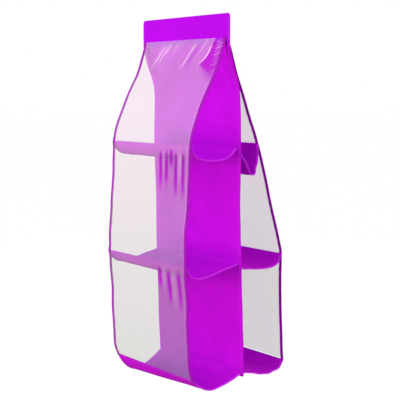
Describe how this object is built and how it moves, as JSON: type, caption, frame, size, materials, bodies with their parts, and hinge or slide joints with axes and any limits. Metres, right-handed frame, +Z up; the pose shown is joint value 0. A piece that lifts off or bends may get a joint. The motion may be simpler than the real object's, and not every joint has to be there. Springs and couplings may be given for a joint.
{
  "type": "hanging handbag organiser",
  "caption": "Hanging cloth organiser: stiff header, centre divider, sling shelves and clear film windows front and back, closed round a closet rod by hook-and-loop straps.",
  "frame": {"origin": "centre of the closet rod that the two straps close round, midway between them", "axes": "+Z up, +X along the rod, -Y towards the front"},
  "size_m": [0.35, 0.3279, 0.9397],
  "materials": {
    "nonwoven_cloth": "matte non-woven with a fine bonded dot pattern",
    "edge_tape": "matte woven binding tape",
    "clear_film": "clear soft film, slightly milky",
    "stiffening_board": "plain grey board",
    "strap_webbing": "matte cloth strap",
    "hook_and_loop": "matte hook-and-loop pile"
  },
  "bodies": {
    "bag": {"divider_panel": "nonwoven_cloth", "header_sleeve": "nonwoven_cloth", "header_board": "stiffening_board", "front_window_top": "clear_film", "front_tape_left_upper": "edge_tape", "front_tape_right_upper": "edge_tape", "front_shelf_top": "nonwoven_cloth", "front_shelf_top_hem_left": "edge_tape", "front_shelf_top_hem_right": "edge_tape", "front_shelf_middle": "nonwoven_cloth", "front_shelf_middle_hem_left": "edge_tape", "front_shelf_middle_hem_right": "edge_tape", "front_shelf_bottom": "nonwoven_cloth", "front_shelf_bottom_hem_left": "edge_tape", "front_shelf_bottom_hem_right": "edge_tape", "back_window_top": "clear_film", "back_window_middle": "clear_film", "back_tape_left_upper": "edge_tape", "back_tape_right_upper": "edge_tape", "back_shelf_top": "nonwoven_cloth", "back_shelf_top_hem_left": "edge_tape", "back_shelf_top_hem_right": "edge_tape", "back_shelf_middle": "nonwoven_cloth", "back_shelf_middle_hem_left": "edge_tape", "back_shelf_middle_hem_right": "edge_tape", "back_shelf_bottom": "nonwoven_cloth", "back_shelf_bottom_hem_left": "edge_tape", "back_shelf_bottom_hem_right": "edge_tape", "loop_patch_left": "hook_and_loop", "loop_patch_right": "hook_and_loop"},
    "front_wall": {"front_window_middle": "clear_film", "front_window_bottom": "clear_film", "front_tape_left_lower": "edge_tape", "front_tape_right_lower": "edge_tape"},
    "back_wall": {"back_window_bottom": "clear_film", "back_tape_left_lower": "edge_tape", "back_tape_right_lower": "edge_tape"},
    "strap_left": {"hanging_strap_left": "strap_webbing", "hook_patch_left": "hook_and_loop"},
    "strap_right": {"hanging_strap_right": "strap_webbing", "hook_patch_right": "hook_and_loop"}
  },
  "joints": [
    {"name": "front_fold", "type": "slide", "parent": "bag", "child": "front_wall", "axis": [0, 1, 0], "range_m": [0, 0.095], "deforming": ["front_window_top", "front_tape_left_upper", "front_tape_right_upper", "front_shelf_top", "front_shelf_top_hem_left", "front_shelf_top_hem_right", "front_shelf_middle", "front_shelf_middle_hem_left", "front_shelf_middle_hem_right", "front_shelf_bottom", "front_shelf_bottom_hem_left", "front_shelf_bottom_hem_right"]},
    {"name": "back_fold", "type": "slide", "parent": "bag", "child": "back_wall", "axis": [0, -1, 0], "range_m": [0, 0.105], "deforming": ["back_window_top", "back_window_middle", "back_tape_left_upper", "back_tape_right_upper", "back_shelf_top", "back_shelf_top_hem_left", "back_shelf_top_hem_right", "back_shelf_middle", "back_shelf_middle_hem_left", "back_shelf_middle_hem_right", "back_shelf_bottom", "back_shelf_bottom_hem_left", "back_shelf_bottom_hem_right"]},
    {"name": "left_strap_opening", "type": "hinge", "parent": "bag", "child": "strap_left", "pos_m": [-0.08, -0.0192, 0.021], "axis": [1, 0, 0], "range_deg": [0, 85]},
    {"name": "right_strap_opening", "type": "hinge", "parent": "bag", "child": "strap_right", "pos_m": [0.08, -0.0192, 0.021], "axis": [1, 0, 0], "range_deg": [0, 85]}
  ]
}
